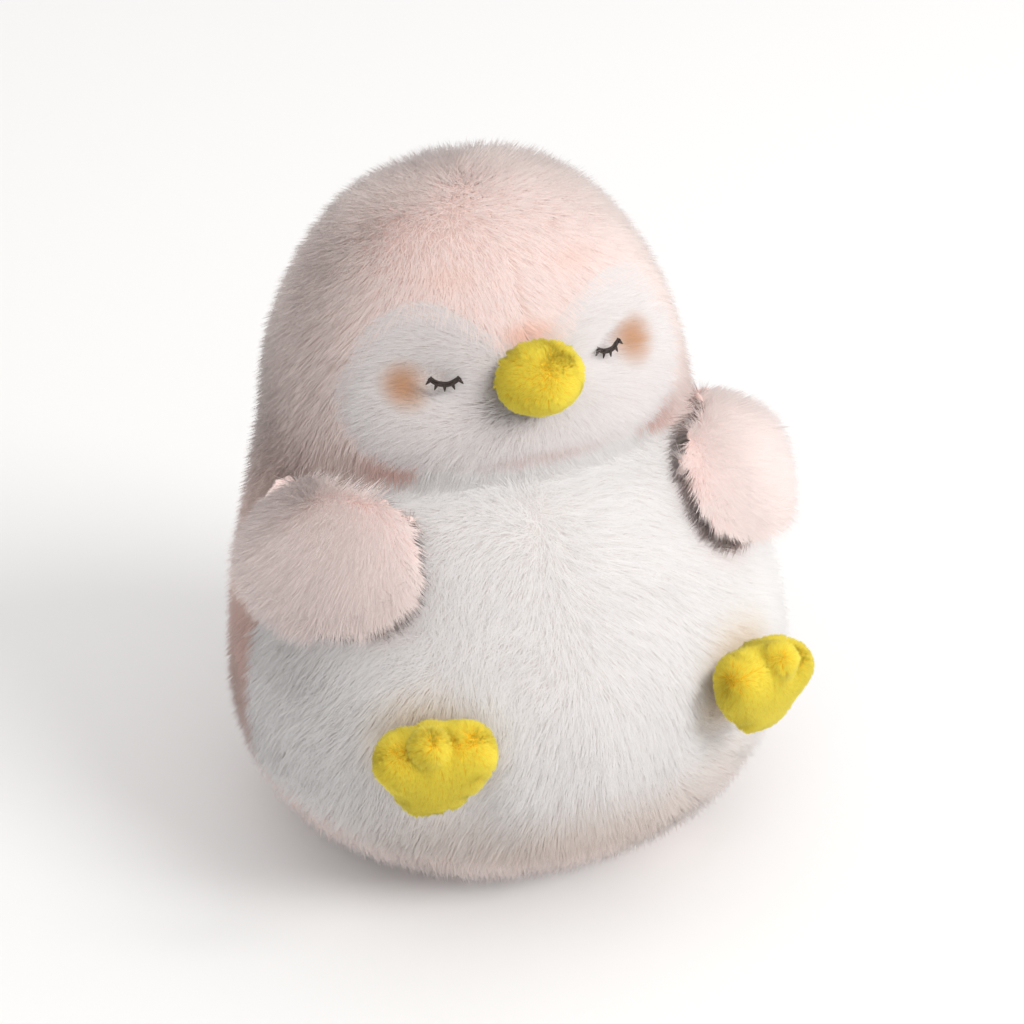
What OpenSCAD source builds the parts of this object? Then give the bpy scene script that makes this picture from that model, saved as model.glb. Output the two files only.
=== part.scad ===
// Plush penguin: a chubby sitting penguin sewn from long-pile fur fabric, with short-pile beak and feet.
// It faces -Y. The origin is on the floor, under the middle of the resting face.
// Every fabric panel's thickness is its backing plus its pile as the pile lies.

/* [Body] */
// Height of the whole toy
height = 218; // [180:1:260]
// Width of the body at its widest, low on the belly
body_width = 186; // [150:1:215]
// Depth of the body at its deepest, front of the belly to the back
body_depth = 166; // [140:1:200]
// Thickness of the long-pile panels
fur_wall = 6; // [4:0.5:8]

/* [Face] */
// Height of the eyes
eye_height = 168; // [162:1:172]
// Distance between the middles of the two eyes
eye_spacing = 56; // [48:1:62]
// Width of one embroidered eye
eye_width = 11; // [8:0.5:14]
// Width of the beak
beak_width = 31; // [24:1:36]
// Height of the beak
beak_height = 24; // [18:1:28]
// Distance that the beak stands out of the face
beak_reach = 15; // [10:1:20]
// Depth of the dimple in the pile round each eye
eye_dimple = 3; // [2:0.5:3.5]

/* [Wings] */
// Length of a wing, shoulder to tip
wing_length = 68; // [60:1:76]
// Width of a wing
wing_width = 60; // [50:1:66]
// Thickness of a stuffed wing
wing_thickness = 40; // [34:1:44]

/* [Feet] */
// Width of a foot across its toes
foot_width = 40; // [34:1:44]
// Thickness of a stuffed foot
foot_thickness = 26; // [22:1:30]
// Thickness of the short-pile panels of the feet and the beak
short_wall = 3; // [2:0.5:4]

/* [Sewing] */
// Gap between one panel and the next at a seam
seam = 0.4; // [0.3:0.1:0.6]
// Clearance between the body and a wing or foot
clearance = 0.6; // [0.4:0.1:1]

/* [Hidden] */

PINK = "#efd7d2";
WHITE = "#f3f1f2";
YELLOW = "#f5d94a";
BLACK = "#37231b";
FILL = "#fbfaf6";

// The body's form, ring by ring from the floor up. Each row gives, as shares of the toy's size:
// [height, half width, half depth, set-back of the ring's middle].
BODY_ROWS = [
    [0.00, 0.61, 0.68, -0.02],
    [0.04, 0.80, 0.85, -0.05],
    [0.12, 0.96, 0.95, -0.08],
    [0.24, 1.00, 1.00, -0.10],
    [0.38, 0.96, 0.97, -0.05],
    [0.50, 0.86, 0.88,  0.10],
    [0.61, 0.76, 0.77,  0.23],
    [0.71, 0.72, 0.70,  0.29],
    [0.81, 0.64, 0.61,  0.31],
    [0.91, 0.49, 0.46,  0.33],
    [0.97, 0.30, 0.28,  0.34],
    [1.00, 0.00, 0.00,  0.34]
];
RINGS_PER_ROW = 2;
RING_POINTS = 36;
BODY_SQUARENESS = 2.2;
far = 400;

// ---- The body's form ----

// A point on a smooth curve between p1 and p2, where t goes from 0 to 1
function smooth_between(p0, p1, p2, p3, t) =
    0.5 * (2 * p1 + (p2 - p0) * t + (2 * p0 - 5 * p1 + 4 * p2 - p3) * t * t
        + (3 * p1 - p0 - 3 * p2 + p3) * t * t * t);

last_row = len(BODY_ROWS) - 1;

// A row of the body, with one more row below the floor and the crown's row mirrored above it
function body_row(i) =
    i < 0 ? 2 * BODY_ROWS[0] - BODY_ROWS[1]
    : i > last_row ? [for (k = [0:3]) BODY_ROWS[2 * last_row - i][k] * ((k == 1 || k == 2) ? -1 : 1)]
    : BODY_ROWS[i];

function row_at(s) =
    let (i = min(floor(s), last_row - 1))
    smooth_between(body_row(i - 1), body_row(i), body_row(i + 1), body_row(i + 2), s - i);

function signed_power(v, p) = sign(v) * pow(abs(v), p);

// How far the neck's crease is pulled in, which is only across the front
function neck_crease(turn, z) =
    0.06 * exp(-pow((z / height - 0.635) / 0.03, 2)) * max(0, cos(turn));

// The point of a ring at an angle from the front
function body_point(row, turn) =
    let (z = row[0] * height, pull = 1 - neck_crease(turn, z))
    [
        pull * row[1] * body_width / 2 * signed_power(sin(turn), 2 / BODY_SQUARENESS),
        row[3] * body_depth / 2
            - pull * row[2] * body_depth / 2 * signed_power(cos(turn), 2 / BODY_SQUARENESS),
        z
    ];

// The place on the body's outside at a row and an angle from the front, and the way out of it there
function skin_point(s, turn) = body_point(row_at(s), turn);
function skin_out(s, turn) =
    unit(cross(skin_point(s, turn + 1) - skin_point(s, turn - 1),
               skin_point(s + 0.05, turn) - skin_point(s - 0.05, turn)));

function unit(v) = v / norm(v);

ring_count = last_row * RINGS_PER_ROW;

// The stuffed body as one closed form, shrunk by the inset on every side
module body_form(inset = 0) {
    rings = [
        for (r = [0:ring_count - 1], k = [0:RING_POINTS - 1])
            body_point(row_at(r / RINGS_PER_ROW), 360 * k / RING_POINTS)
    ];
    crown = body_point(BODY_ROWS[last_row], 0);
    sides = [
        for (r = [0:ring_count - 2], k = [0:RING_POINTS - 1])
            let (a = r * RING_POINTS + k, b = r * RING_POINTS + (k + 1) % RING_POINTS)
            each [[a, a + RING_POINTS, b], [b, a + RING_POINTS, b + RING_POINTS]]
    ];
    top_ring = (ring_count - 1) * RING_POINTS;
    cap = [
        for (k = [0:RING_POINTS - 1])
            [top_ring + k, ring_count * RING_POINTS, top_ring + (k + 1) % RING_POINTS]
    ];
    floor_face = [for (k = [0:RING_POINTS - 1]) k];
    translate([0, 0, height / 2])
        scale([1 - 2 * inset / body_width, 1 - 2 * inset / body_depth, 1 - 2 * inset / height])
        translate([0, 0, -height / 2])
        polyhedron(points = concat(rings, [crown]), faces = concat([floor_face], sides, cap));
}

// Freeform cloth has no true round in it, so each such piece is drawn as one closed mesh.
module freeform() {
    resize([0, 0, 0])
        children();
}

// ---- Panels of the body ----

// The face's heart-shaped patch seen from the front: on each side a round brow and a cheek, run into the chin
module face_outline() {
    for (side = [-1, 1])
        hull() {
            translate([side * 0.29 * body_width / 2, 0.78 * height]) circle(r = 0.09 * height, $fn = 32);
            translate([side * 0.39 * body_width / 2, 0.73 * height]) circle(r = 0.08 * height, $fn = 32);
            translate([0, 0.70 * height]) scale([2.4, 1]) circle(r = 0.05 * height, $fn = 48);
        }
}

// The belly's patch seen from the front, wide under the wings and narrow at the chin
module belly_outline() {
    top_x = 0.36 * body_width / 2;
    wide_x = 1.1 * body_width / 2;
    polygon(concat(
        [
            [-wide_x, 0.42 * height], [-top_x, 0.652 * height],
            [top_x, 0.652 * height], [wide_x, 0.42 * height]
        ],
        [for (k = [10:-1:-10]) [wide_x * k / 10, base_seam_height(wide_x * k / 10)]]
    ));
}

// The seam between the base and the panels above it, lowest at the front and back
function base_seam_height(x) = height * (0.115 + 0.07 * pow(x / (body_width / 2), 2));

module base_outline() {
    wide_x = body_width;
    polygon(concat(
        [[-wide_x, -1], [wide_x, -1]],
        [for (k = [20:-1:-20]) [body_width / 2 * k / 20 * 1.05, base_seam_height(body_width / 2 * k / 20)]]
    ));
}

// A front-view outline made solid, from the plane at depth start_y to the front
module frontwards(start_y) {
    translate([0, start_y, 0])
        rotate([90, 0, 0])
        linear_extrude(far)
        children();
}

module fur_shell() {
    difference() {
        body_form();
        body_form(fur_wall);
    }
}

face_start = 0.05 * body_depth / 2;
belly_start = -0.06 * body_depth / 2;

module body_stuffing() {
    color(FILL)
    body_form(fur_wall + seam);
}

module back_panel(side) {
    color(PINK)
    freeform()
    difference() {
        intersection() {
            fur_shell();
            translate([side * (far / 2 + seam / 2), 0, height / 2])
                cube(far, center = true);
        }
        frontwards(face_start + seam) offset(delta = seam) face_outline();
        frontwards(belly_start + seam) offset(delta = seam) belly_outline();
        frontwards(far / 2) offset(delta = seam) base_outline();
    }
}

module belly_panel() {
    color(WHITE)
    freeform()
    difference() {
        intersection() {
            fur_shell();
            frontwards(belly_start) belly_outline();
        }
        frontwards(far / 2) offset(delta = seam) base_outline();
        frontwards(face_start) offset(delta = seam) face_outline();
    }
}

module face_panel() {
    color(WHITE)
    freeform()
    difference() {
        intersection() {
            fur_shell();
            frontwards(face_start) face_outline();
        }
        for (side = [-1, 1])
            at_eye(side)
            translate([0, 0, -eye_dimple])
            cylinder(r1 = 0.62 * eye_width, r2 = 1.4 * eye_width, h = 2 * eye_dimple, $fn = 24);
    }
}

module base_panel() {
    color(PINK)
    freeform()
    intersection() {
        fur_shell();
        frontwards(far / 2) base_outline();
    }
}

// ---- Stuffed pillows: the beak, wings and feet ----

PILLOW_RINGS = 5;
PILLOW_POINTS = 24;

// A pillow round a rim in its own XY plane, with a dome above and one below, bent by curl at the rim
module pillow(rim, dome_up, dome_down, curl = 0) {
    count = len(rim);
    reach = max([for (p = rim) norm(p)]);
    levels = [for (k = [1 - PILLOW_RINGS:PILLOW_RINGS - 1]) 90 * k / PILLOW_RINGS];
    rings = [
        for (a = levels, p = rim)
            [
                p[0] * cos(a), p[1] * cos(a),
                sin(a) * (a > 0 ? dome_up : dome_down) - curl * pow(norm(p) * cos(a) / reach, 2)
            ]
    ];
    low = len(rings);
    top_ring = (len(levels) - 1) * count;
    sides = [
        for (r = [0:len(levels) - 2], k = [0:count - 1])
            let (a = r * count + k, b = r * count + (k + 1) % count)
            each [[a, a + count, b], [b, a + count, b + count]]
    ];
    caps = [
        for (k = [0:count - 1])
            let (next = (k + 1) % count)
            each [[low, k, next], [low + 1, top_ring + next, top_ring + k]]
    ];
    polyhedron(
        points = concat(rings, [[0, 0, -dome_down], [0, 0, dome_up]]),
        faces = concat(sides, caps)
    );
}

// The half space on one side of a pillow's rim, bent as the pillow is and kept off the seam
module half_above(side) {
    scale([1, 1, side])
        translate([-far / 2, -far / 2, seam / 2])
        cube([far, far, far]);
}

// ---- Beak ----

// The angles of the points round the beak's rim
beak_angles = [for (k = [0:PILLOW_POINTS - 1]) 360 * k / PILLOW_POINTS];
// The place between the body's rows where the eyes and the beak sit
EYE_ROW = 7 + (eye_height / height - BODY_ROWS[7][0]) / (BODY_ROWS[8][0] - BODY_ROWS[7][0]);
face_front = skin_point(EYE_ROW, 0)[1];
// The beak's middle sits in the face, so that it stands out by its reach.
beak_sink = 7;

module beak_form(inset) {
    rim = [
        for (t = beak_angles)
            [(beak_width / 2 - inset) * cos(t), (beak_reach + beak_sink) / 2 * 1.25 * sin(t)]
    ];
    difference() {
        translate([0, face_front - beak_reach + (beak_reach + beak_sink) / 2 * 1.25 + inset, eye_height + 1])
            pillow(rim, beak_height / 2 - inset, beak_height / 2 - inset);
        body_form(-seam - inset);
    }
}

module beak_panel(side) {
    color(YELLOW)
    freeform()
    intersection() {
        difference() {
            beak_form(0);
            beak_form(short_wall);
        }
        translate([0, 0, eye_height + 1]) half_above(side);
    }
}

module beak_stuffing() {
    color(FILL)
    freeform()
    beak_form(short_wall + seam);
}

// ---- Embroidered eyes ----

// How far round from the front each eye is
eye_turn = asin(pow(eye_spacing / 2 / (row_at(EYE_ROW)[1] * body_width / 2), BODY_SQUARENESS / 2));
LASHES = 5;
lash_length = 2.4;
lash_width = 0.8;
thread_width = 1;
thread_height = 1.2;

// Lies its children on the face at one eye, with Z out of the face.
module at_eye(side) {
    sided(side)
        placed(skin_point(EYE_ROW, eye_turn), [1, 0.6, 0], skin_out(EYE_ROW, eye_turn))
        children();
}

// A closed eye: a shallow arc of satin stitch with lashes that fan out below it
module eye_stitching(side) {
    arc_r = 0.66 * eye_width;
    half_arc = asin(eye_width / 2 / arc_r);
    color(BLACK)
        at_eye(side)
        translate([0, 0, seam - eye_dimple])
        linear_extrude(thread_height)
        translate([0, arc_r])
        union() {
            intersection() {
                difference() {
                    circle(r = arc_r, $fn = 64);
                    circle(r = arc_r - thread_width, $fn = 64);
                }
                polygon([[0, 0], [-far * sin(half_arc), -far * cos(half_arc)],
                    [far * sin(half_arc), -far * cos(half_arc)]]);
            }
            for (k = [0:LASHES - 1])
                rotate(half_arc * (2 * k / (LASHES - 1) - 1) * 0.85)
                translate([-lash_width / 2, -arc_r - lash_length])
                square([lash_width, lash_length + thread_width / 2]);
        }
}

// ---- Wings ----

// On the left wing: the middle of its seam, the way from its shoulder to its tip, and the way it faces
wing_middle = [0.70 * body_width / 2, -23, 119];
wing_along = [-0.30, -0.80, -0.52];
wing_out = [0.74, -0.45, 0.50];

// Turns and moves its children so that X runs along one direction and Z along another
module placed(at, along, out) {
    z = unit(out);
    y = unit(cross(z, along));
    x = cross(y, z);
    multmatrix([
        [x[0], y[0], z[0], at[0]],
        [x[1], y[1], z[1], at[1]],
        [x[2], y[2], z[2], at[2]],
        [0, 0, 0, 1]
    ])
        children();
}

// A wing's rim: an egg, broader towards the tip
function wing_rim(inset) = [
    for (k = [0:PILLOW_POINTS - 1])
        let (t = 360 * k / PILLOW_POINTS)
        [(wing_length / 2 - inset) * cos(t), (wing_width / 2 - inset) * sin(t) * (1 + 0.10 * cos(t))]
];

module wing_form(inset) {
    difference() {
        placed(wing_middle, wing_along, wing_out)
            pillow(wing_rim(inset), 0.40 * wing_thickness - inset, 0.60 * wing_thickness - inset);
        body_form(-clearance - inset);
    }
}

module sided(side) {
    if (side > 0)
        children();
    else
        mirror([1, 0, 0])
            children();
}

module wing_panel(side, face) {
    color(PINK)
    freeform()
    sided(side)
    intersection() {
        difference() {
            wing_form(0);
            wing_form(fur_wall - 1);
        }
        placed(wing_middle, wing_along, wing_out) half_above(face);
    }
}

module wing_stuffing(side) {
    color(FILL)
    freeform()
    sided(side)
    wing_form(fur_wall - 1 + seam);
}

// ---- Feet ----

// On the left foot: the middle of its seam, the way from heel to toes, and the way that the sole faces
foot_middle = [53.5, -82, 69.5];
foot_along = [0.06, -0.31, 0.95];
foot_out = [0.26, -0.93, -0.30];
// Each lobe of the foot's rim: [angle from the toes' way, height, spread].
// The outer, middle and inner toe come first, then the heel.
FOOT_LOBES = [[-62, 8, 22], [-12, 4, 16], [40, 8, 26], [165, 10, 45]];
FOOT_POINTS = 30;
// The middle toe's ball, as shares of the foot's width: its way along the foot, across it and its radius
TOE_BALL = [0.40, -0.10, 0.17];

function turn_between(a, b) = abs((a - b + 540) % 360 - 180);

// A foot's rim: three round toes and a narrow heel
function foot_rim(inset) = [
    for (k = [0:FOOT_POINTS - 1])
        let (
            t = 360 * k / FOOT_POINTS,
            bumps = [for (b = FOOT_LOBES) b[1] * exp(-pow(turn_between(t, b[0]) / b[2], 2))],
            r = (15 + bumps[0] + bumps[1] + bumps[2] + bumps[3]) * foot_width / 40 - inset
        )
        [r * cos(t), r * sin(t)]
];

module foot_form(inset) {
    difference() {
        placed(foot_middle, foot_along, foot_out)
            union() {
                pillow(foot_rim(inset), 0.28 * foot_thickness - inset, 0.72 * foot_thickness - inset);
                translate([TOE_BALL[0] * foot_width, TOE_BALL[1] * foot_width, 0])
                    sphere(r = TOE_BALL[2] * foot_width - inset, $fn = 20);
            }
        body_form(-clearance - inset);
    }
}

module foot_panel(side, face) {
    color(YELLOW)
    freeform()
    sided(side)
    intersection() {
        difference() {
            foot_form(0);
            foot_form(short_wall);
        }
        placed(foot_middle, foot_along, foot_out) half_above(face);
    }
}

module foot_stuffing(side) {
    color(FILL)
    freeform()
    sided(side)
    foot_form(short_wall + seam);
}

// ---- The pieces ----

body_stuffing();
back_panel(1);  // back_panel_left
back_panel(-1);  // back_panel_right
belly_panel();
face_panel();
base_panel();
beak_panel(1);  // beak_upper_panel
beak_panel(-1);  // beak_lower_panel
beak_stuffing();
eye_stitching(1);  // left_eye_stitching
eye_stitching(-1);  // right_eye_stitching
wing_panel(1, 1);  // left_wing_outer_panel
wing_panel(1, -1);  // left_wing_inner_panel
wing_stuffing(1);  // left_wing_stuffing
wing_panel(-1, 1);  // right_wing_outer_panel
wing_panel(-1, -1);  // right_wing_inner_panel
wing_stuffing(-1);  // right_wing_stuffing
foot_panel(1, -1);  // left_foot_upper_panel
foot_panel(1, 1);  // left_foot_sole_panel
foot_stuffing(1);  // left_foot_stuffing
foot_panel(-1, -1);  // right_foot_upper_panel
foot_panel(-1, 1);  // right_foot_sole_panel
foot_stuffing(-1);  // right_foot_stuffing
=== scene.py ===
import math
import bpy
import numpy as np
from mathutils import Matrix, Vector
from mathutils.kdtree import KDTree


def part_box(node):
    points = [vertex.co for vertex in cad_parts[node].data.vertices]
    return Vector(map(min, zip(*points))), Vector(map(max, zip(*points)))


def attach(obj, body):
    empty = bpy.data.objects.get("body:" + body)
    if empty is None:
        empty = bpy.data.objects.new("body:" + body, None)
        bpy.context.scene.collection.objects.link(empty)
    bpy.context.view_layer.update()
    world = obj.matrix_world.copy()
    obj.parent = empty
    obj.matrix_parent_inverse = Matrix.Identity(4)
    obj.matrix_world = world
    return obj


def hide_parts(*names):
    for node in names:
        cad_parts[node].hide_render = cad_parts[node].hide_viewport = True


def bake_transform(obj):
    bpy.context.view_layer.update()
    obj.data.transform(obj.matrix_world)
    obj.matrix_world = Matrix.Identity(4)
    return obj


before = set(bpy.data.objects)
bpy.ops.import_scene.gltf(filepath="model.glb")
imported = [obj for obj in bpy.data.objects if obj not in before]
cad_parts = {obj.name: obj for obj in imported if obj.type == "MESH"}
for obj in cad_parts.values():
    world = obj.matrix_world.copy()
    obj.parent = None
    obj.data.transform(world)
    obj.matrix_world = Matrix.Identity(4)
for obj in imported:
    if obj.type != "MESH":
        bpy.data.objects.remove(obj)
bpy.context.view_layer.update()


# ---- Studio ----
# A white table with white surroundings. A large soft lamp stands high on the penguin's left, in front of it,
# and the camera looks down at the penguin from its right.
CAMERA_AZIMUTH = math.radians(-22.4)
CAMERA_ELEVATION = math.radians(33.4)
CAMERA_DISTANCE = 0.95
LOOK_AT = Vector((0, 0, 0.0968))

to_camera = Vector((math.sin(CAMERA_AZIMUTH) * math.cos(CAMERA_ELEVATION),
                    -math.cos(CAMERA_AZIMUTH) * math.cos(CAMERA_ELEVATION),
                    math.sin(CAMERA_ELEVATION)))
camera_right = Vector((math.cos(CAMERA_AZIMUTH), math.sin(CAMERA_AZIMUTH), 0))

bpy.ops.object.select_all(action="DESELECT")
bpy.ops.object.camera_add(location=LOOK_AT + to_camera * CAMERA_DISTANCE)
camera = bpy.context.object
camera.name = "camera"
camera.rotation_euler = to_camera.to_track_quat("Z", "Y").to_euler()
camera.data.lens = 103.2
camera.data.sensor_width = 36
camera.data.shift_x = 0.0117
camera.data.shift_y = 0.0137
bpy.context.scene.camera = camera


def lamp(name, place, size, power, colour):
    bpy.ops.object.light_add(type="AREA", location=place)
    light = bpy.context.object
    light.name = name
    light.rotation_euler = (Vector(place) - LOOK_AT).to_track_quat("Z", "Y").to_euler()
    light.data.shape = "DISK"
    light.data.size = size
    light.data.energy = power
    light.data.color = colour


lamp("key_lamp", tuple(camera_right * 0.85 + Vector((0.1, -0.55, 1.25))), 0.8, 14, (1.0, 0.99, 0.98))

world = bpy.data.worlds.new("white_room")
bpy.context.scene.world = world
world.use_nodes = True
world.node_tree.nodes["Background"].inputs["Color"].default_value = (1.0, 0.985, 0.975, 1)
world.node_tree.nodes["Background"].inputs["Strength"].default_value = 0.85
bpy.context.scene.view_settings.view_transform = "Standard"
bpy.context.scene.view_settings.look = "None"

bpy.ops.mesh.primitive_plane_add(size=8, location=(0, 0, 0))
table_top = bpy.context.object
table_top.name = "table_top"
white_table = bpy.data.materials.new("white_table")
white_table.use_nodes = True
white_table.node_tree.nodes["Principled BSDF"].inputs["Base Color"].default_value = (0.93, 0.93, 0.93, 1)
white_table.node_tree.nodes["Principled BSDF"].inputs["Roughness"].default_value = 0.9
table_top.data.materials.append(white_table)


# ---- Stuffed body ----
# One bag of polyester fibre makes head and body. Its knitted backing swells between the seams round the face,
# under the chin and round the base, and sits flat on the table.
TOY_HEIGHT = 0.218
BODY_WIDTH = 0.186
BODY_DEPTH = 0.166


def outline_distance(points, corners):
    """How far points are outside a convex outline of corners given anticlockwise; negative inside."""
    far_out = np.full(len(points), -1.0)
    for a, b in zip(corners, np.roll(corners, -1, axis=0)):
        edge = b - a
        outward = np.array([edge[1], -edge[0]]) / np.hypot(*edge)
        far_out = np.maximum(far_out, (points - a) @ outward)
    return far_out


def oval(x, z, wide, high, count=40):
    turn = np.linspace(0, 2 * np.pi, count, endpoint=False)
    return np.stack([x + wide * np.cos(turn), z + high * np.sin(turn)], 1)


def wrapped(points):
    """The convex outline round points, anticlockwise."""
    points = sorted(map(tuple, points))
    halves = []
    for run in (points, points[::-1]):
        side = []
        for p in run:
            while len(side) > 1 and ((side[-1][0] - side[-2][0]) * (p[1] - side[-2][1])
                                     - (side[-1][1] - side[-2][1]) * (p[0] - side[-2][0])) <= 0:
                side.pop()
            side.append(p)
        halves += side[:-1]
    return np.array(halves)


BROW_AND_CHEEK = wrapped(np.concatenate([
    oval(0.29 * BODY_WIDTH / 2, 0.78 * TOY_HEIGHT, 0.09 * TOY_HEIGHT, 0.09 * TOY_HEIGHT),
    oval(0.39 * BODY_WIDTH / 2, 0.73 * TOY_HEIGHT, 0.08 * TOY_HEIGHT, 0.08 * TOY_HEIGHT),
    oval(0, 0.70 * TOY_HEIGHT, 0.12 * TOY_HEIGHT, 0.05 * TOY_HEIGHT)]))


def off_face(p):
    """Distance outside the heart-shaped face patch, seen from the front."""
    return outline_distance(np.stack([np.abs(p[:, 0]), p[:, 2]], 1), BROW_AND_CHEEK)


def over_base(p):
    """Height above the seam of the base."""
    return p[:, 2] - TOY_HEIGHT * (0.115 + 0.07 * (p[:, 0] / (BODY_WIDTH / 2)) ** 2)


def under_collar(p):
    """Distance below the slanting top edge of the belly panel, which is level under the chin."""
    slant = 0.0479 / 0.0688
    edge = 0.665 * TOY_HEIGHT - slant * np.maximum(0, np.abs(p[:, 0]) - 0.36 * BODY_WIDTH / 2)
    return edge - p[:, 2]


def is_base(p):
    return over_base(p) < 0


def is_face(p):
    return ~is_base(p) & (off_face(p) < -0.003) & (p[:, 1] < 0.05 * BODY_DEPTH / 2)


def is_belly(p):
    return ~is_base(p) & ~is_face(p) & (under_collar(p) > 0) & (p[:, 1] < -0.06 * BODY_DEPTH / 2)


def is_back(p):
    return ~(is_base(p) | is_face(p) | is_belly(p))


def places(mesh):
    co = np.empty(len(mesh.vertices) * 3)
    mesh.vertices.foreach_get("co", co)
    return co.reshape(-1, 3)


def set_places(mesh, co):
    mesh.vertices.foreach_set("co", co.ravel())
    mesh.update()


def normals_of(mesh):
    out = np.empty(len(mesh.vertices) * 3, dtype=np.float32)
    mesh.vertex_normals.foreach_get("vector", out)
    return out.reshape(-1, 3).astype(float)


def stuffed_bag(name, filling, voxel, cloth_out, swell, on_seam):
    """A closed bag of cloth round its filling's node, blown up between its pinned seams."""
    bpy.ops.object.select_all(action="DESELECT")
    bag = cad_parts[filling].copy()
    bag.data = bag.data.copy()
    bag.parent = None
    bag.matrix_world = Matrix()
    bag.name = name
    bag.data.materials.clear()
    bpy.context.scene.collection.objects.link(bag)
    bag.select_set(True)
    bpy.context.view_layer.objects.active = bag
    bpy.ops.object.mode_set(mode="EDIT")
    bpy.ops.mesh.select_all(action="SELECT")
    bpy.ops.mesh.remove_doubles(threshold=0.00002)
    bpy.ops.object.mode_set(mode="OBJECT")
    remesh = bag.modifiers.new("remesh", "REMESH")
    remesh.mode = "VOXEL"
    remesh.voxel_size = voxel
    bpy.ops.object.modifier_apply(modifier="remesh")
    shrink = bag.modifiers.new("shrink", "DISPLACE")
    shrink.mid_level = 0
    shrink.strength = cloth_out - swell
    bpy.ops.object.modifier_apply(modifier="shrink")
    relax = bag.modifiers.new("relax", "SMOOTH")
    relax.factor = 0.5
    relax.iterations = 4
    bpy.ops.object.modifier_apply(modifier="relax")
    start = places(bag.data)
    seam_group = bag.vertex_groups.new(name="seam")
    seam_group.add([int(i) for i in np.nonzero(on_seam(start))[0]], 1.0, "REPLACE")
    cloth = bag.modifiers.new("cloth", "CLOTH")
    cloth.settings.use_pressure = True
    cloth.settings.uniform_pressure_force = 4
    cloth.settings.effector_weights.gravity = 0
    cloth.settings.vertex_group_mass = "seam"
    for step in range(1, 21):
        bpy.context.scene.frame_set(step)
    bpy.context.view_layer.objects.active = bag
    bpy.ops.object.modifier_apply(modifier="cloth")
    bpy.context.scene.frame_set(1)
    blown = places(bag.data) - start
    reach = np.linalg.norm(blown, axis=1, keepdims=True)
    set_places(bag.data, start + blown * np.minimum(1, swell / np.maximum(reach, 1e-9)))
    finer = bag.modifiers.new("finer", "SUBSURF")
    finer.levels = finer.render_levels = 1
    bpy.ops.object.modifier_apply(modifier="finer")
    bpy.ops.object.shade_smooth()
    return bag


def bell(distance, width):
    return np.exp(-(distance / width) ** 2)


body_bag = stuffed_bag("body_bag", "body_stuffing", 0.004, 0.0008, 0.0015,
                       lambda p: (np.abs(over_base(p)) < 0.003) | (is_belly(p) & (under_collar(p) < 0.004)))
body = places(body_bag.data)
crease = bell(body[:, 2] - 0.138, 0.007) * np.clip(-body[:, 1] / 0.03, 0, 1)
EYE_AT = np.array([0.0274, -0.018, 0.1675])
eyes = [body - EYE_AT * (side, 1, 1) for side in (-1, 1)]
dimple = sum(np.exp(-(e[:, 0] / 0.012) ** 2 - (e[:, 2] / 0.008) ** 2) * (body[:, 1] < 0) for e in eyes)
dent = sum(np.exp(-(np.linalg.norm(body - np.array([side * 0.0525, -0.076, 0.056]), axis=1) / 0.021) ** 4)
           for side in (-1, 1))
body += normals_of(body_bag.data) * (-0.0055 * crease - 0.003 * dimple - 0.0025 * dent)[:, None]
low = body[:, 2] < 0.016
body[low, 2] = 0.0015 + (body[low, 2] - body[:, 2].min()) * (0.0145 / (0.016 - body[:, 2].min()))
body[:, 2] = np.maximum(body[:, 2], 0.0015)
set_places(body_bag.data, body)


# ---- Fur ----
# Every long-pile panel is faux fur. Each hair is a fine tapered fibre, rooted in the knitted backing, combed
# one way and bunched with its neighbours. The same maker lays the short nap of the beak and feet. A sort of
# pile is how far its hairs lean, a hair's width, how far apart the bunches are and how tightly they bunch.
LONG_PILE = (1.1, 0.00036, 0.0022, 0.2)
FACE_PILE = (1.0, 0.00032, 0.002, 0.2)
WING_PILE = (1.0, 0.00033, 0.0024, 0.12)
SHORT_NAP = (0.6, 0.00036, 0.0012, 0.55)


def smooth_noise(p, size, seed):
    """A smooth random vector at each point, about 1 long, that changes over the given size."""
    random = np.random.default_rng(seed)
    total = np.zeros_like(p)
    for _ in range(7):
        waves = random.normal(size=(3, 3)) / size
        total += np.sin(p @ waves.T + random.uniform(0, 2 * np.pi, 3))
    return total / 2


def unit(v):
    return v / np.maximum(np.linalg.norm(v, axis=1, keepdims=True), 1e-9)


def fasten(piece, holder):
    """Fasten to the one body a holder names; for any other holder, bake the piece's place into its mesh."""
    if isinstance(holder, str):
        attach(piece, holder)
    else:
        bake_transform(piece)


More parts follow.
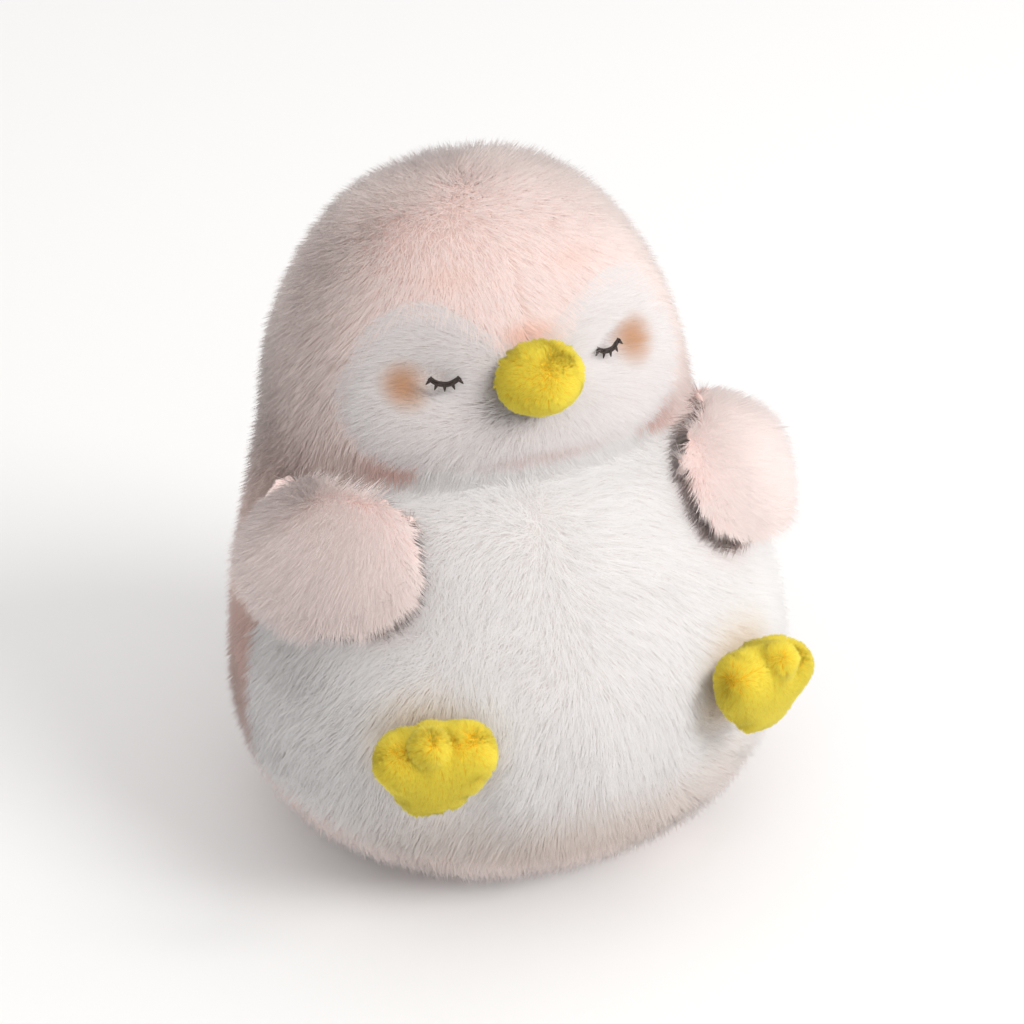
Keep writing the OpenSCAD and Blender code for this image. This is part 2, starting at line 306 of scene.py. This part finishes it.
def grow_hair(name, skin, count, seed, keep, comb, length, lean, width, bunch_size, bunching, material,
              holder, roundness=0.7):
    """Hairs rooted where keep allows. Each is a three-sided spike, so it has an outside from everywhere."""
    random = np.random.default_rng(seed)
    mesh = skin.data
    co = places(mesh)
    normal = normals_of(mesh)
    mesh.calc_loop_triangles()
    tri = np.empty(len(mesh.loop_triangles) * 3, dtype=np.int32)
    mesh.loop_triangles.foreach_get("vertices", tri)
    tri = tri.reshape(-1, 3)
    corners = co[tri]
    sides = corners[:, 1:] - corners[:, :1]
    area = np.linalg.norm(np.cross(sides[:, 0], sides[:, 1]), axis=1) / 2
    area = area * (keep(corners[:, 0]) | keep(corners[:, 1]) | keep(corners[:, 2]))
    chosen = random.choice(len(tri), size=int(count * 1.1), p=area / area.sum())
    share = random.dirichlet((1, 1, 1), len(chosen))
    root = np.einsum("ij,ijk->ik", share, corners[chosen])
    out = unit(np.einsum("ij,ijk->ik", share, normal[tri[chosen]]))
    kept = keep(root)
    root, out = root[kept][:count], out[kept][:count]
    number = len(root)

    way = unit(comb(root, out)) + 0.30 * smooth_noise(root, 0.012, seed + 1)
    way += 0.18 * random.normal(size=root.shape)
    way = unit(way - out * np.sum(way * out, axis=1, keepdims=True))
    long = length(root, out)[:, None] * random.uniform(0.75, 1.15, (number, 1))
    tip = root + unit(out + way * lean * random.uniform(0.6, 1.4, (number, 1))) * long

    leaders = random.choice(number, size=max(1, int(area.sum() / bunch_size ** 2)))
    tree = KDTree(len(leaders))
    for i, k in enumerate(leaders):
        tree.insert(root[k], i)
    tree.balance()
    leader = leaders[[tree.find(p)[1] for p in root]]
    tip += (tip[leader] - tip) * bunching * random.uniform(0.3, 1.0, (number, 1))
    root = root - out * 0.0004

    run = unit(tip - root)
    across = unit(np.cross(run, out + 0.01))
    lift = np.cross(run, across)
    turn = random.uniform(0, 2 * np.pi, number)
    thick = width * 0.58 * random.uniform(0.7, 1.3, number)
    spike = np.empty((number, 4, 3))
    shade = np.empty((number, 4, 3))
    for corner in range(3):
        angle = turn + corner * 2 * np.pi / 3
        side = across * np.cos(angle)[:, None] + lift * np.sin(angle)[:, None]
        spike[:, corner] = root + side * thick[:, None]
        shade[:, corner] = unit(out + roundness * side)
    spike[:, 3] = tip
    shade[:, 3] = out
    spike[:, :, 2] = np.maximum(spike[:, :, 2], 0.0004)

    hair = bpy.data.meshes.new(name)
    hair.vertices.add(number * 4)
    hair.vertices.foreach_set("co", spike.ravel())
    hair.loops.add(number * 9)
    pattern = np.array([0, 1, 3, 1, 2, 3, 2, 0, 3])
    corner_of = np.arange(number)[:, None] * 4 + pattern
    hair.loops.foreach_set("vertex_index", corner_of.ravel().astype(np.int32))
    hair.polygons.add(number * 3)
    hair.polygons.foreach_set("loop_start", (np.arange(number * 3) * 3).astype(np.int32))
    hair.update(calc_edges=True)
    if roundness:
        hair.polygons.foreach_set("use_smooth", np.ones(number * 3, dtype=bool))
        hair.normals_split_custom_set_from_vertices(shade.reshape(-1, 3).tolist())
    else:
        hair.polygons.foreach_set("use_smooth", np.zeros(number * 3, dtype=bool))

    strand = np.stack([np.repeat(random.uniform(size=number), 9), np.tile([0, 0, 1.0] * 3, number)], 1)
    hair.uv_layers.new(name="strand").data.foreach_set("uv", strand.ravel())
    cells = math.ceil(math.sqrt(number))
    cell = np.stack([np.arange(number) % cells, np.arange(number) // cells], 1)[:, None, :]
    shape = np.array([[0.1, 0.1], [0.9, 0.1], [0.5, 0.9]] * 3)
    hair.uv_layers.new(name="OFBake").data.foreach_set("uv", ((cell + shape) / cells).ravel())
    hair.materials.append(material)
    grown = bpy.data.objects.new(name, hair)
    bpy.context.scene.collection.objects.link(grown)
    grown.visible_shadow = False
    fasten(grown, holder)
    return grown


def new_group(name, inputs, outputs):
    group = bpy.data.node_groups.new(name, "ShaderNodeTree")
    for label, kind, default in inputs:
        socket = group.interface.new_socket(label, in_out="INPUT", socket_type=kind)
        socket.default_value = default
    for label, kind in outputs:
        group.interface.new_socket(label, in_out="OUTPUT", socket_type=kind)
    return group, group.nodes.new("NodeGroupInput"), group.nodes.new("NodeGroupOutput")


def joined(tree, *pairs):
    for start, end in pairs:
        tree.links.new(start, end)


def maths(tree, kind, *values):
    node = tree.nodes.new("ShaderNodeMath")
    node.operation = kind
    for socket, value in zip(node.inputs, values):
        if isinstance(value, (int, float)):
            socket.default_value = value
        else:
            tree.links.new(value, socket)
    return node.outputs[0]


def mixed(tree, factor, a, b, blend="MIX"):
    node = tree.nodes.new("ShaderNodeMix")
    node.data_type = "RGBA"
    node.blend_type = blend
    for socket, value in ((node.inputs[0], factor), (node.inputs[6], a), (node.inputs[7], b)):
        if isinstance(value, (int, float, tuple)):
            socket.default_value = value
        else:
            tree.links.new(value, socket)
    return node.outputs[2]


# A hair's colour runs from a darker root, painted shade for the shade deep in the pile, to its tip, and no
# two hairs are quite alike.
hair_tone, tone_in, tone_out = new_group(
    "hair_tone",
    [("Root", "NodeSocketColor", (0.5, 0.5, 0.5, 1)), ("Tip", "NodeSocketColor", (0.9, 0.9, 0.9, 1)),
     ("Variety", "NodeSocketFloat", 0.12), ("Patch Size", "NodeSocketFloat", 60.0)],
    [("Color", "NodeSocketColor")])
strand_map = hair_tone.nodes.new("ShaderNodeUVMap")
strand_map.uv_map = "strand"
strand_parts = hair_tone.nodes.new("ShaderNodeSeparateXYZ")
tone_place = hair_tone.nodes.new("ShaderNodeTexCoord")
tone_patches = hair_tone.nodes.new("ShaderNodeTexNoise")
tone_patches.inputs["Detail"].default_value = 3
joined(hair_tone, (strand_map.outputs[0], strand_parts.inputs[0]),
       (tone_place.outputs["Object"], tone_patches.inputs["Vector"]),
       (tone_in.outputs["Patch Size"], tone_patches.inputs["Scale"]))
root_shade_fade = maths(hair_tone, "POWER", strand_parts.outputs[1], 0.8)
hair_colour = mixed(hair_tone, root_shade_fade, tone_in.outputs["Root"], tone_in.outputs["Tip"])
hair_luck = maths(hair_tone, "ADD", strand_parts.outputs[0], tone_patches.outputs["Fac"])
hair_luck = maths(hair_tone, "SUBTRACT", hair_luck, 1.0)
hair_luck = maths(hair_tone, "MULTIPLY", hair_luck, tone_in.outputs["Variety"])
hair_value = hair_tone.nodes.new("ShaderNodeHueSaturation")
joined(hair_tone, (maths(hair_tone, "ADD", hair_luck, 1.0), hair_value.inputs["Value"]),
       (hair_colour, hair_value.inputs["Color"]), (hair_value.outputs[0], tone_out.inputs["Color"]))

# A soft oval spot of colour at one place on the toy, fading to nothing at its rim. Some spots are
# airbrushed dye; the rest are painted shade, rust-tinted in creases and under the wings, warm low on the
# body.
dye_and_shade_spot, brush_in, brush_out = new_group(
    "dye_and_shade_spot",
    [("Color", "NodeSocketColor", (1, 1, 1, 1)), ("Spot Color", "NodeSocketColor", (0.8, 0.3, 0.1, 1)),
     ("Place", "NodeSocketVector", (0, 0, 0)), ("Reach", "NodeSocketVector", (0.01, 0.01, 0.01)),
     ("Strength", "NodeSocketFloat", 0.5)],
    [("Color", "NodeSocketColor")])
brush_place = dye_and_shade_spot.nodes.new("ShaderNodeTexCoord")
brush_shift = dye_and_shade_spot.nodes.new("ShaderNodeVectorMath")
brush_shift.operation = "SUBTRACT"
brush_scale = dye_and_shade_spot.nodes.new("ShaderNodeVectorMath")
brush_scale.operation = "DIVIDE"
brush_reach = dye_and_shade_spot.nodes.new("ShaderNodeVectorMath")
brush_reach.operation = "LENGTH"
brush_fade = dye_and_shade_spot.nodes.new("ShaderNodeMapRange")
brush_fade.interpolation_type = "SMOOTHSTEP"
brush_fade.inputs["From Min"].default_value = 1.0
brush_fade.inputs["From Max"].default_value = 0.15
joined(dye_and_shade_spot, (brush_place.outputs["Object"], brush_shift.inputs[0]),
       (brush_in.outputs["Place"], brush_shift.inputs[1]),
       (brush_shift.outputs[0], brush_scale.inputs[0]), (brush_in.outputs["Reach"], brush_scale.inputs[1]),
       (brush_scale.outputs[0], brush_reach.inputs[0]),
       (brush_reach.outputs["Value"], brush_fade.inputs["Value"]))
brush_mask = maths(dye_and_shade_spot, "MULTIPLY", brush_fade.outputs[0], brush_in.outputs["Strength"])
joined(dye_and_shade_spot, (mixed(dye_and_shade_spot, brush_mask, brush_in.outputs["Color"], brush_in.outputs["Spot Color"]),
                  brush_out.inputs["Color"]))


def spotted_colour(tree, colour, dye_and_shade_spots):
    """The colour with each spot of dye and painted shade laid over it. A spot is (place, reach, colour,
    strength).
    """
    for place, reach, spot_colour, strength in dye_and_shade_spots:
        spot = tree.nodes.new("ShaderNodeGroup")
        spot.node_tree = dye_and_shade_spot
        spot.inputs["Place"].default_value = place
        spot.inputs["Reach"].default_value = reach
        spot.inputs["Spot Color"].default_value = (*spot_colour, 1)
        spot.inputs["Strength"].default_value = strength
        tree.links.new(colour, spot.inputs["Color"])
        colour = spot.outputs["Color"]
    return colour


def pile_material(name, root, tip, variety, dye_and_shade_spots=(), roughness=0.8, sheen=0.25):
    """Dyed pile: a darker root, painted shade, and a tip colour, then spots of dye and of painted shade."""
    material = bpy.data.materials.new(name)
    material.use_nodes = True
    tree = material.node_tree
    shader = tree.nodes["Principled BSDF"]
    shader.inputs["Roughness"].default_value = roughness
    shader.inputs["Specular IOR Level"].default_value = 0.25
    shader.inputs["Sheen Weight"].default_value = sheen
    shader.inputs["Sheen Roughness"].default_value = 0.5
    tone = tree.nodes.new("ShaderNodeGroup")
    tone.node_tree = hair_tone
    tone.inputs["Root"].default_value = (*root, 1)
    tone.inputs["Tip"].default_value = (*tip, 1)
    tone.inputs["Variety"].default_value = variety
    tree.links.new(spotted_colour(tree, tone.outputs["Color"], dye_and_shade_spots), shader.inputs["Base Color"])
    return material


def skin_of(bag, name, keep, material, holder, nodes, thickness=0.0008):
    """The knitted backing of one panel: the bag's faces where keep allows, given a thickness inwards."""
    bpy.ops.object.select_all(action="DESELECT")
    skin = bag.copy()
    skin.data = bag.data.copy()
    skin.name = skin.data.name = name
    bpy.context.scene.collection.objects.link(skin)
    skin.select_set(True)
    bpy.context.view_layer.objects.active = skin
    centres = np.array([face.center[:] for face in skin.data.polygons])
    dropped = ~keep(centres)
    bpy.ops.object.mode_set(mode="EDIT")
    bpy.ops.mesh.select_all(action="DESELECT")
    bpy.ops.object.mode_set(mode="OBJECT")
    skin.data.polygons.foreach_set("select", dropped)
    bpy.ops.object.mode_set(mode="EDIT")
    bpy.ops.mesh.select_mode(type="FACE")
    bpy.ops.mesh.delete(type="FACE")
    bpy.ops.object.mode_set(mode="OBJECT")
    wall = skin.modifiers.new("wall", "SOLIDIFY")
    wall.thickness = thickness
    wall.offset = -1
    bpy.ops.object.modifier_apply(modifier="wall")
    skin.data.materials.clear()
    skin.data.materials.append(material)
    fasten(skin, holder)
    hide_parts(*nodes)
    return skin


def knit_material(name, colour, dye_and_shade_spots=()):
    """Warp-knitted backing with the pile's dye and painted shade spots: fine ribs, a little uneven."""
    material = bpy.data.materials.new(name)
    material.use_nodes = True
    tree = material.node_tree
    shader = tree.nodes["Principled BSDF"]
    shader.inputs["Roughness"].default_value = 0.95
    place = tree.nodes.new("ShaderNodeTexCoord")
    ribs = tree.nodes.new("ShaderNodeTexNoise")
    ribs.inputs["Scale"].default_value = 900
    bump = tree.nodes.new("ShaderNodeBump")
    bump.inputs["Strength"].default_value = 0.5
    bump.inputs["Distance"].default_value = 0.0004
    joined(tree, (place.outputs["Object"], ribs.inputs["Vector"]),
           (ribs.outputs["Fac"], bump.inputs["Height"]),
           (bump.outputs["Normal"], shader.inputs["Normal"]))
    shade = mixed(tree, ribs.outputs["Fac"], tuple(0.85 * c for c in colour) + (1,), tuple(colour) + (1,))
    tree.links.new(spotted_colour(tree, shade, dye_and_shade_spots), shader.inputs["Base Color"])
    return material


# ---- Pink back panels and base ----
# Two mirrored panels of pale pink fur meet down the middle of the head and back, and a round base closes
# the bag. The base's pile is pressed flat where the toy sits. The neck creases carry a rust-tinted painted
# shade, and the low sides a broad warm painted shade.
RUST_TINTED_SHADE = (0.55, 0.17, 0.10)
ORANGE = (0.90, 0.30, 0.10)
PINK_ROOT = (0.95, 0.74, 0.69)
PINK_TIP = (0.98, 0.86, 0.82)
pink_dyes_and_shade = [
    # Neck creases: painted crease shade, tinted rust.
    ((-0.047, -0.030, 0.141), (0.022, 0.022, 0.010), RUST_TINTED_SHADE, 0.55),
    ((0.047, -0.030, 0.141), (0.022, 0.022, 0.010), RUST_TINTED_SHADE, 0.55),
    ((0, -0.030, 0.180), (0.015, 0.016, 0.007), ORANGE, 0.55),
    ((0.024, -0.015, 0.196), (0.018, 0.016, 0.006), ORANGE, 0.15),
    ((-0.024, -0.015, 0.196), (0.018, 0.016, 0.006), ORANGE, 0.15),
    # Painted shade: a broad warm darkening low on both sides.
    ((-0.095, 0, 0.085), (0.05, 0.09, 0.11), (0.72, 0.40, 0.32), 0.6),
    ((0.095, 0, 0.085), (0.05, 0.09, 0.11), (0.72, 0.40, 0.32), 0.6),
]
pink_pile = pile_material("pink_pile", PINK_ROOT, PINK_TIP, 0.07, pink_dyes_and_shade)
pink_knit = knit_material("pink_knit", PINK_ROOT, pink_dyes_and_shade)


def comb_down(p, out):
    """Pile runs down and a little forwards from the crown."""
    return np.stack([4 * p[:, 0], np.full(len(p), -1.0), np.full(len(p), -1.0)], 1)


def back_length(p, out):
    return 0.0095 - 0.0055 * np.clip((0.010 - p[:, 2]) / 0.008, 0, 1)


for side, word in ((1, "left"), (-1, "right")):
    half = lambda p, s=side: is_back(p) & (p[:, 0] * s >= 0)
    skin_of(body_bag, f"back_{word}_backing", half, pink_knit, "body", [f"back_panel_{word}"])
    pelt = grow_hair(f"back_{word}_fur", body_bag, 66000, 11 + side, half, comb_down, back_length,
                     *LONG_PILE, pink_pile, "body")

skin_of(body_bag, "base_backing", is_base, pink_knit, "body", ["base_panel"])
base_fur = grow_hair("base_fur", body_bag, 30000, 21, lambda p: is_base(p) & (p[:, 2] > 0.003), comb_down,
                     back_length, *LONG_PILE, pink_pile, "body")


# ---- White belly panel ----
# One wide panel of white fur from the chin to the base, wrapped round to the sides under the wings. The
# dyer's spray has left a yellow-orange haze where the feet are sewn on. Rust-tinted painted shade darkens
# it under the wings, and a warm painted shade darkens it towards the base.
FOOT_AT = (0.053, -0.080, 0.069)
WHITE_ROOT = (0.86, 0.81, 0.79)
WHITE_TIP = (0.92, 0.91, 0.905)
belly_dyes_and_shade = [
    ((-FOOT_AT[0], FOOT_AT[1], FOOT_AT[2]), (0.025, 0.05, 0.027), (0.95, 0.62, 0.25), 0.5),
    ((FOOT_AT[0], FOOT_AT[1], FOOT_AT[2]), (0.025, 0.05, 0.027), (0.95, 0.62, 0.25), 0.5),
    # Painted shadow: rust-tinted darkening on the belly under each wing.
    ((0.060, -0.035, 0.105), (0.022, 0.03, 0.012), RUST_TINTED_SHADE, 0.25),
    ((-0.060, -0.035, 0.105), (0.022, 0.03, 0.012), RUST_TINTED_SHADE, 0.25),
    # Painted shade: a broad warm darkening towards the bottom of the belly.
    ((0, -0.05, 0.024), (0.11, 0.09, 0.036), (0.62, 0.40, 0.27), 0.5),
]
white_belly_pile = pile_material("white_belly_pile", WHITE_ROOT, WHITE_TIP, 0.06, belly_dyes_and_shade)
white_belly_knit = knit_material("white_belly_knit", WHITE_ROOT, belly_dyes_and_shade)


def comb_belly(p, out):
    return np.stack([1.2 * p[:, 0] / 0.09, np.zeros(len(p)), np.full(len(p), -0.8)], 1)


def belly_length(p, out):
    """The pile is pressed short where a foot lies on it."""
    off = [np.linalg.norm(p - np.array([side * 0.0525, -0.076, 0.058]), axis=1) for side in (-1, 1)]
    off = np.minimum(*off)
    return 0.0095 * (1 - 0.78 * np.exp(-(off / 0.024) ** 4))


skin_of(body_bag, "belly_backing", is_belly, white_belly_knit, "body", ["belly_panel"])
belly_fur = grow_hair("belly_fur", body_bag, 66000, 31, is_belly, comb_belly, belly_length,
                      *LONG_PILE, white_belly_pile, "body")


# ---- White face patch ----
# A heart of white fur, let into the pink head. Its pile is brushed away from the beak, clipped short round
# the stitched eyes, and blushed with orange outside each eye. The crease under the chin carries a
# rust-tinted painted shade.
face_dyes_and_shade = [
    ((-0.0385, -0.020, 0.1680), (0.0105, 0.016, 0.0095), (0.60, 0.26, 0.07), 0.85),
    ((0.0385, -0.020, 0.1680), (0.0105, 0.016, 0.0095), (0.60, 0.26, 0.07), 0.85),
    ((0, -0.03, 0.181), (0.015, 0.014, 0.007), ORANGE, 0.6),
    # Painted crease shade under the chin, tinted rust.
    ((0, -0.045, 0.142), (0.035, 0.03, 0.005), RUST_TINTED_SHADE, 0.25),
]
FACE_ROOT = (0.74, 0.65, 0.62)
FACE_TIP = (0.88, 0.85, 0.845)
white_face_pile = pile_material("white_face_pile", FACE_ROOT, FACE_TIP, 0.08, face_dyes_and_shade)
white_face_knit = knit_material("white_face_knit", FACE_ROOT, face_dyes_and_shade)
BEAK_SEAM = 0.169
BEAK_AT = np.array([0, -0.035, BEAK_SEAM])


def comb_face(p, out):
    return unit(p - BEAK_AT) + np.array([0, 0, -0.35])


def face_length(p, out):
    off = [p - EYE_AT * (side, 1, 1) for side in (-1, 1)]
    eye_off = np.minimum(*[np.sqrt((o[:, 0] / 0.0085) ** 2 + (o[:, 2] / 0.0062) ** 2) for o in off])
    beak_off = np.linalg.norm(p - BEAK_AT, axis=1)
    return 0.0085 * (1 - 0.82 * np.exp(-eye_off ** 3)) * (1 - 0.5 * bell(beak_off, 0.014))


skin_of(body_bag, "face_backing", is_face, white_face_knit, "body", ["face_panel", "body_stuffing"])
face_fur = grow_hair("face_fur", body_bag, 34000, 41, is_face, comb_face, face_length,
                     *FACE_PILE, white_face_pile, "body")


# ---- Wings ----
# Each wing is a bag of two egg-shaped fur panels, sewn together round the edge, stuffed, and sewn to the
# body at its shoulder end. The seam below it carries a rust-tinted painted crease shade, and its pink is a
# little lighter than the body's, painted light.
def placed(middle, along, out):
    """The turn and place of a part that lies with X along it and Z out of it, as a 3 by 3 and a point."""
    z = np.array(out) / np.linalg.norm(out)
    y = np.cross(z, along)
    y /= np.linalg.norm(y)
    return np.array([np.cross(y, z), y, z]), np.array(middle)


def mirrored(p, side):
    return p * np.array([side, 1, 1])


wing_axes, wing_middle = placed([0.70 * BODY_WIDTH / 2, -0.023, 0.119],
                                [-0.30, -0.80, -0.52], [0.74, -0.45, 0.50])


def wing_place(p, side):
    return (mirrored(p, side) - wing_middle) @ wing_axes.T


WING_FULLNESS = np.array([1.10, 1.18, 1.10])
# Painted light: the wing pile is a little lighter than the body's pink, for the light the fluffy wing
# catches.
LIT_WING_ROOT = (0.97, 0.74, 0.69)
LIT_WING_TIP = (0.99, 0.88, 0.85)
for side, word in ((1, "left"), (-1, "right")):
    nodes = [f"{word}_wing_outer_panel", f"{word}_wing_inner_panel", f"{word}_wing_stuffing"]
    wing_bag = stuffed_bag(f"{word}_wing_bag", nodes[2], 0.0025, 0.0010, 0.0025,
                           lambda p: np.abs(wing_place(p, side)[:, 2]) < 0.002)
    # Painted crease shade, tinted rust, along the seam under the wing's rim.
    wing_rim = [wing_middle + np.array([0.031 * math.cos(a), 0.027 * math.sin(a), -0.002]) @ wing_axes
                for a in (-0.95, -0.45, 0.05, 0.5)]
    wing_shade_spots = [(tuple(mirrored(spot, side)), (0.010, 0.010, 0.010), RUST_TINTED_SHADE, 0.35) for spot in wing_rim]
    wing = wing_place(places(wing_bag.data), side) * WING_FULLNESS + np.array([0.003, 0, 0])
    root = np.clip((-0.012 - wing[:, 0]) / 0.024, 0, 1)
    wing += np.stack([-0.011 * root, 0 * root, -0.016 * root], 1)
    wing = mirrored(wing_middle + wing @ wing_axes, side)
    set_places(wing_bag.data, wing)
    at_wing = wing_place(wing, side)
    pinch = bell(at_wing[:, 2] + 0.001, 0.0022) * np.clip(at_wing[:, 0] / 0.02, 0, 1)
    set_places(wing_bag.data, wing - normals_of(wing_bag.data) * 0.0035 * pinch[:, None])
    wing_pile = pile_material(f"{word}_wing_pile", LIT_WING_ROOT, LIT_WING_TIP, 0.08, wing_shade_spots)
    wing_knit = knit_material(f"{word}_wing_knit", PINK_ROOT, wing_shade_spots)
    bend = [tuple(mirrored(wing_middle + np.array([x, 0, -0.004]) @ wing_axes, side))
            for x in (-0.038, -0.012)]
    holder = ("body", f"{word}_wing", *bend)
    for face, panel in ((1, "outer"), (-1, "inner")):
        half = lambda p, s=side, f=face: wing_place(p, s)[:, 2] * f >= 0
        backing = skin_of(wing_bag, f"{word}_wing_{panel}_backing", half, wing_knit, holder,
                          [f"{word}_wing_{panel}_panel"] + ([nodes[2]] if face > 0 else []))
        backing.visible_shadow = False

        def comb_wing(p, out, s=side):
            rays = wing_place(p, s) * np.array([1, 1, 0]) / 0.03
            return mirrored(wing_axes[0] * 0.6 + 0.6 * rays @ wing_axes - np.array([0, 0, 0.2]), s)

        def wing_length(p, out, f=face, s=side):
            off_seam = np.clip(np.abs(wing_place(p, s)[:, 2]) / 0.008, 0, 1)
            return (0.0135 if f > 0 else 0.006) * (0.6 + 0.4 * off_seam)

        pelt = grow_hair(f"{word}_wing_{panel}_fur", wing_bag, 44000 if face > 0 else 20000,
                         51 + side + 5 * face, half, comb_wing, wing_length,
                         *WING_PILE, wing_pile, holder,
                         0.7 if face > 0 else 0)
    bpy.data.objects.remove(wing_bag)


# ---- Beak ----
# A small bag of two yellow plush pieces, seamed level across its middle, stuffed hard and sewn to the face.
YELLOW_ROOT = (0.95, 0.56, 0.012)
YELLOW_TIP = (1.0, 0.86, 0.10)
beak_bag = stuffed_bag("beak_bag", "beak_stuffing", 0.0013, 0.0024, 0.0006,
                       lambda p: np.abs(p[:, 2] - BEAK_SEAM) < 0.0006)
yellow_nap = pile_material("yellow_nap", YELLOW_ROOT, YELLOW_TIP, 0.2, sheen=0.1)
yellow_knit = knit_material("yellow_knit", YELLOW_ROOT)


def nap_out(p, out):
    return np.array([0, 0, -1.0]) + 0.5 * smooth_noise(p, 0.003, 5)


def nap_length(p, out):
    return np.full(len(p), 0.0024)


for face, panel in ((1, "upper"), (-1, "lower")):
    half = lambda p, f=face: (p[:, 2] - BEAK_SEAM) * f >= 0
    skin_of(beak_bag, f"beak_{panel}_cloth", half, yellow_knit, "body",
            [f"beak_{panel}_panel"] + (["beak_stuffing"] if face > 0 else []), 0.0005)
    nap = grow_hair(f"beak_{panel}_nap", beak_bag, 20000, 71 + face, half, nap_out, nap_length,
                    *SHORT_NAP, yellow_nap, "body")
bpy.data.objects.remove(beak_bag)


# ---- Feet ----
# Each foot is a bag of two yellow plush pieces with three round toes, sewn on at its heel.
HEEL_STRETCH = 1.45
foot_axes, foot_middle = placed([0.0535, -0.082, 0.0695], [0.06, -0.31, 0.95], [0.26, -0.93, -0.30])


def foot_place(p, side):
    return (mirrored(p, side) - foot_middle) @ foot_axes.T


for side, word in ((1, "left"), (-1, "right")):
    nodes = [f"{word}_foot_upper_panel", f"{word}_foot_sole_panel", f"{word}_foot_stuffing"]
    foot_bag = stuffed_bag(f"{word}_foot_bag", nodes[2], 0.0018, 0.0028, 0.0006,
                           lambda p: np.abs(foot_place(p, side)[:, 2]) < 0.0009)
    foot = foot_place(places(foot_bag.data), side)
    foot[:, 0] *= np.where(foot[:, 0] < 0, HEEL_STRETCH, 1.0)
    foot[:, 2] -= 0.003 * np.clip((-0.006 - foot[:, 0]) / 0.020, 0, 1)
    set_places(foot_bag.data, mirrored(foot_middle + foot @ foot_axes, side))
    bend = [tuple(mirrored(foot_middle + np.array([x, 0, -0.006]) @ foot_axes, side))
            for x in (-0.030, -0.008)]
    holder = ("body", f"{word}_foot", *bend)
    for face, panel in ((-1, "upper"), (1, "sole")):
        half = lambda p, s=side, f=face: foot_place(p, s)[:, 2] * f >= 0
        skin_of(foot_bag, f"{word}_foot_{panel}_cloth", half, yellow_knit, holder,
                [f"{word}_foot_{panel}_panel"] + ([nodes[2]] if face > 0 else []), 0.0005)
        nap = grow_hair(f"{word}_foot_{panel}_nap", foot_bag, 30000 if face > 0 else 26000,
                        81 + side + 5 * face, half, nap_out, nap_length,
                        *SHORT_NAP, yellow_nap, holder)
    bpy.data.objects.remove(foot_bag)


# ---- Stitched eyes ----
# Each shut eye is satin stitch in dark brown thread: a shallow arc with five lashes that fan out below it.
thread = bpy.data.materials.new("dark_thread")
thread.use_nodes = True
thread_tree = thread.node_tree
thread_shader = thread_tree.nodes["Principled BSDF"]
thread_shader.inputs["Roughness"].default_value = 0.45
thread_place = thread_tree.nodes.new("ShaderNodeTexCoord")
thread_twist = thread_tree.nodes.new("ShaderNodeTexNoise")
thread_twist.inputs["Scale"].default_value = 2500
thread_bump = thread_tree.nodes.new("ShaderNodeBump")
thread_bump.inputs["Distance"].default_value = 0.0002
joined(thread_tree, (thread_place.outputs["Object"], thread_twist.inputs["Vector"]),
       (thread_twist.outputs["Fac"], thread_bump.inputs["Height"]),
       (thread_bump.outputs["Normal"], thread_shader.inputs["Normal"]),
       (mixed(thread_tree, thread_twist.outputs["Fac"], (0.012, 0.006, 0.004, 1), (0.05, 0.028, 0.02, 1)),
        thread_shader.inputs["Base Color"]))
EYE_WIDTH = 0.0092
LASH = 0.0022


def stitches(name, paths, radius):
    """Threads along paths of (point, thickness), joined into one mesh."""
    curve = bpy.data.curves.new(name, "CURVE")
    curve.dimensions = "3D"
    curve.bevel_depth = radius
    curve.bevel_resolution = 2
    curve.use_fill_caps = True
    for path in paths:
        line = curve.splines.new("POLY")
        line.points.add(len(path) - 1)
        for point, (place, thick) in zip(line.points, path):
            point.co = (*place, 1)
            point.radius = thick
    piece = bpy.data.objects.new(name, curve)
    bpy.context.scene.collection.objects.link(piece)
    bpy.ops.object.select_all(action="DESELECT")
    piece.select_set(True)
    bpy.context.view_layer.objects.active = piece
    bpy.ops.object.convert(target="MESH")
    return bpy.context.object


for side, word in ((1, "left"), (-1, "right")):
    low_corner, high_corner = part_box(f"{word}_eye_stitching")
    middle = (np.array(low_corner) + np.array(high_corner)) / 2
    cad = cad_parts[f"{word}_eye_stitching"].data
    flat = places(cad) - places(cad).mean(axis=0)
    z = np.linalg.svd(flat, full_matrices=False)[2][2]
    z = z * -np.sign(z[1])
    x = np.cross([0, 0, 1], z)
    x = x / np.linalg.norm(x)
    y = np.cross(z, x)
    arc_radius = 0.66 * EYE_WIDTH
    half_arc = math.asin(EYE_WIDTH / 2 / arc_radius)
    middle = middle + y * 0.0006

    def on_arc(turn, radius, lift=0.0):
        return middle + x * radius * math.sin(turn) + y * (arc_radius - radius * math.cos(turn)) + z * lift

    paths = []
    for thread_row in range(4):
        radius = arc_radius - 0.0005 + 0.00033 * thread_row
        turns = np.linspace(-half_arc, half_arc, 15)
        paths.append([(on_arc(t, radius, 0.0002 * math.sin(thread_row * 2 + 9 * t)),
                       0.5 + 0.5 * math.cos(t / half_arc * 1.2)) for t in turns])
    for k in range(5):
        turn = half_arc * (k / 2 - 1) * 0.88
        for strand_shift in (-0.06, 0.0, 0.06):
            paths.append([(on_arc(turn + strand_shift * (1 - s), arc_radius + LASH * s, 0.0003 - 0.0004 * s),
                           1.0 - 0.6 * s) for s in (0, 0.35, 0.7, 1)])
    eye = stitches(f"{word}_eye_threads", paths, 0.00037)
    eye.data.materials.append(thread)
    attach(eye, "body")
    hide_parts(f"{word}_eye_stitching")

bpy.data.objects.remove(body_bag)
